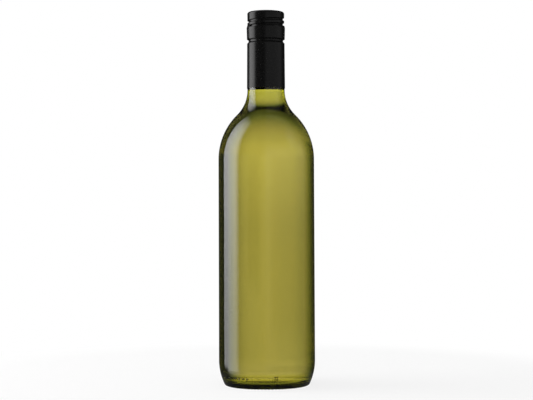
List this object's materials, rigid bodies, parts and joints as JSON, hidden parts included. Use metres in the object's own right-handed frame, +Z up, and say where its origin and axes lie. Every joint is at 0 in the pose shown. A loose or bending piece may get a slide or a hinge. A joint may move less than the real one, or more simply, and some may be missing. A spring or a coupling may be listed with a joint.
{
  "type": "wine bottle",
  "caption": "Tall round-shouldered green glass wine bottle, filled and shut, with a plain black screw cap and a long skirt over its neck.",
  "frame": {"origin": "centre of the base, on the surface that the bottle stands on", "axes": "+Z up along the bottle's axis; -Y is the side with the small block of mould dots near its middle"},
  "size_m": [0.075, 0.075, 0.2911],
  "materials": {
    "green_glass": "clear, polished",
    "wine": "clear",
    "black_lacquer": "satin"
  },
  "bodies": {
    "root": {"bottle": "green_glass", "wine": "wine", "cap": "black_lacquer", "skirt": "black_lacquer"}
  },
  "joints": []
}
